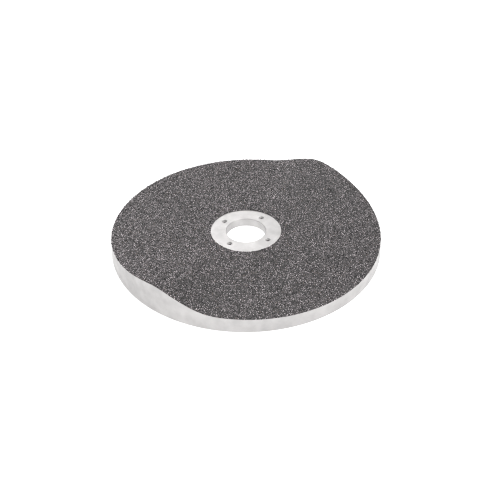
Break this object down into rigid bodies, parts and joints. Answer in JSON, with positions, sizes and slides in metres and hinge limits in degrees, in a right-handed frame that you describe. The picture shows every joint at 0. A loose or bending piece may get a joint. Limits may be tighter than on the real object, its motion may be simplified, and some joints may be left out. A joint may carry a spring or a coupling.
{
  "type": "angle grinder carving disc",
  "caption": "Aluminium carving disc for an angle grinder: flat base, central bore, and a grit-coated face that rises in steep-backed waves from a bare clamping ring.",
  "frame": {"origin": "on the bore's axis, in the plane of the flat base", "axes": "+Z along the bore's axis, out of the coated face; +X through the first pin hole, within 2 degrees of a wave's crest"},
  "size_m": [0.15, 0.15, 0.0165],
  "materials": {
    "aluminium": "satin, turned",
    "bond": "cured resin, dull",
    "grit": "crushed carbide grains, rough, with glints"
  },
  "bodies": {
    "root": {"disc_body": "aluminium", "bond_coat": "bond", "abrasive_grit": "grit"}
  },
  "joints": []
}
